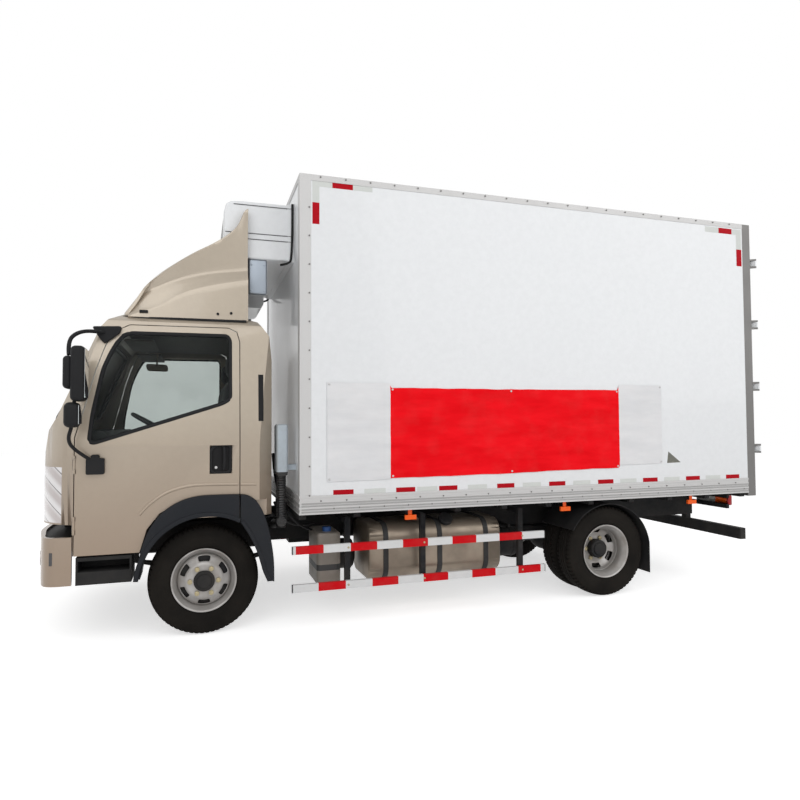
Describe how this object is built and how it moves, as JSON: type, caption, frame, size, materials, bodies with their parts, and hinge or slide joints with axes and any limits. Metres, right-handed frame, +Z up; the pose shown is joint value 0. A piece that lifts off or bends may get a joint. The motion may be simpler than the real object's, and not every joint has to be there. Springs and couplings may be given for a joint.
{
  "type": "refrigerated box truck",
  "caption": "Light refrigerated truck: champagne tilt cab with roof deflector, cooling unit and a white insulated box with rear doors on a ladder frame.",
  "frame": {"origin": "centre of the vehicle's overall box, on the ground", "axes": "+X rearwards along the vehicle, +Y to the vehicle's right, +Z up"},
  "size_m": [5.995, 2.58, 3.31],
  "materials": {
    "cab_paint": "satin",
    "box_panel": "gloss",
    "box_floor": "satin",
    "box_door": "gloss",
    "trim_aluminium": "satin",
    "rear_stainless": "satin",
    "chassis_steel": "satin",
    "rail_paint": "satin",
    "black_plastic": "matte",
    "grey_plastic": "matte",
    "lamp_lens": "gloss",
    "glass": "gloss",
    "tyre": "matte",
    "rim_paint": "satin",
    "seat_cloth": "matte"
  },
  "bodies": {
    "chassis": {"frame": "chassis_steel", "engine": "chassis_steel", "front_axle": "chassis_steel", "rear_axle": "chassis_steel", "leaf_springs": "chassis_steel", "fuel_tank": "trim_aluminium", "fluid_tank": "black_plastic", "battery_box": "chassis_steel", "exhaust": "chassis_steel", "side_guards": "rail_paint", "rear_mudguards": "black_plastic", "frame_flares": "black_plastic", "underrun_bar": "chassis_steel", "lamps": "lamp_lens", "bumper": "cab_paint", "air_intake": "grey_plastic", "cargo_subframe": "chassis_steel", "cargo_floor": "box_floor", "cargo_wall_left": "box_panel", "cargo_wall_right": "box_panel", "cargo_front_wall": "box_panel", "cargo_roof": "box_panel", "cargo_trim": "trim_aluminium", "cargo_rear_frame": "rear_stainless", "cooling_unit": "box_panel", "compressor_box": "box_panel", "evaporator": "box_panel"},
    "cab": {"cab_shell": "cab_paint", "cab_front_panel": "cab_paint", "head_lamps": "lamp_lens", "windscreen": "glass", "cab_steps": "black_plastic", "cab_flares": "black_plastic", "dashboard": "grey_plastic", "steering_wheel": "grey_plastic", "seats": "seat_cloth", "seat_boxes": "chassis_steel", "deflector": "cab_paint"},
    "door_left": {"door_left": "cab_paint", "door_glass_left": "glass", "door_fittings_left": "black_plastic"},
    "door_right": {"door_right": "cab_paint", "door_glass_right": "glass", "door_fittings_right": "black_plastic"},
    "knuckle_left": {"knuckle_left": "chassis_steel"},
    "knuckle_right": {"knuckle_right": "chassis_steel"},
    "tie_rod": {"tie_rod": "chassis_steel"},
    "wheel_front_left": {"tyre_front_left": "tyre", "rim_front_left": "rim_paint"},
    "wheel_front_right": {"tyre_front_right": "tyre", "rim_front_right": "rim_paint"},
    "wheel_rear_left": {"tyres_rear_left": "tyre", "rims_rear_left": "rim_paint"},
    "wheel_rear_right": {"tyres_rear_right": "tyre", "rims_rear_right": "rim_paint"},
    "cargo_door_left": {"cargo_door_left": "box_door", "lock_rods_left": "trim_aluminium"},
    "cargo_door_right": {"cargo_door_right": "box_door", "lock_rods_right": "trim_aluminium"}
  },
  "joints": [
    {"name": "cab_tilt", "type": "hinge", "parent": "chassis", "child": "cab", "pos_m": [-2.8575, 0, 0.79], "axis": [0, -1, 0], "range_deg": [0, 45]},
    {"name": "door_left_hinge", "type": "hinge", "parent": "cab", "child": "door_left", "pos_m": [-2.7225, -1, 1.2], "axis": [0, 0, -1], "range_deg": [0, 70]},
    {"name": "door_right_hinge", "type": "hinge", "parent": "cab", "child": "door_right", "pos_m": [-2.7225, 1, 1.2], "axis": [0, 0, 1], "range_deg": [0, 70]},
    {"name": "steering", "type": "hinge", "parent": "chassis", "child": "knuckle_left", "pos_m": [-1.8975, -0.7, 0.38], "axis": [0, 0, 1], "range_deg": [-35, 35]},
    {"name": "steering_right", "type": "hinge", "parent": "chassis", "child": "knuckle_right", "pos_m": [-1.8975, 0.7, 0.38], "axis": [0, 0, 1], "range_deg": [-35, 35]},
    {"name": "tie_rod_pivot", "type": "hinge", "parent": "knuckle_left", "child": "tie_rod", "pos_m": [-1.7075, -0.655, 0.2847], "axis": [0, 0, 1], "range_deg": [-35, 35]},
    {"name": "wheel_front_left_spin", "type": "hinge", "parent": "knuckle_left", "child": "wheel_front_left", "pos_m": [-1.8975, -0.825, 0.38], "axis": [0, 1, 0], "continuous": true},
    {"name": "wheel_front_right_spin", "type": "hinge", "parent": "knuckle_right", "child": "wheel_front_right", "pos_m": [-1.8975, 0.825, 0.38], "axis": [0, 1, 0], "continuous": true},
    {"name": "wheel_rear_left_spin", "type": "hinge", "parent": "chassis", "child": "wheel_rear_left", "pos_m": [1.3825, -0.797, 0.38], "axis": [0, 1, 0], "continuous": true},
    {"name": "wheel_rear_right_spin", "type": "hinge", "parent": "chassis", "child": "wheel_rear_right", "pos_m": [1.3825, 0.797, 0.38], "axis": [0, 1, 0], "continuous": true},
    {"name": "cargo_door_left_hinge", "type": "hinge", "parent": "chassis", "child": "cargo_door_left", "pos_m": [2.9875, -1.115, 2], "axis": [0, 0, -1], "range_deg": [0, 270]},
    {"name": "cargo_door_right_hinge", "type": "hinge", "parent": "chassis", "child": "cargo_door_right", "pos_m": [2.9875, 1.115, 2], "axis": [0, 0, 1], "range_deg": [0, 270]}
  ],
  "couplings": [
    {"joint": "steering_right", "follows": "steering", "ratio": 1},
    {"joint": "tie_rod_pivot", "follows": "steering", "ratio": -1}
  ]
}
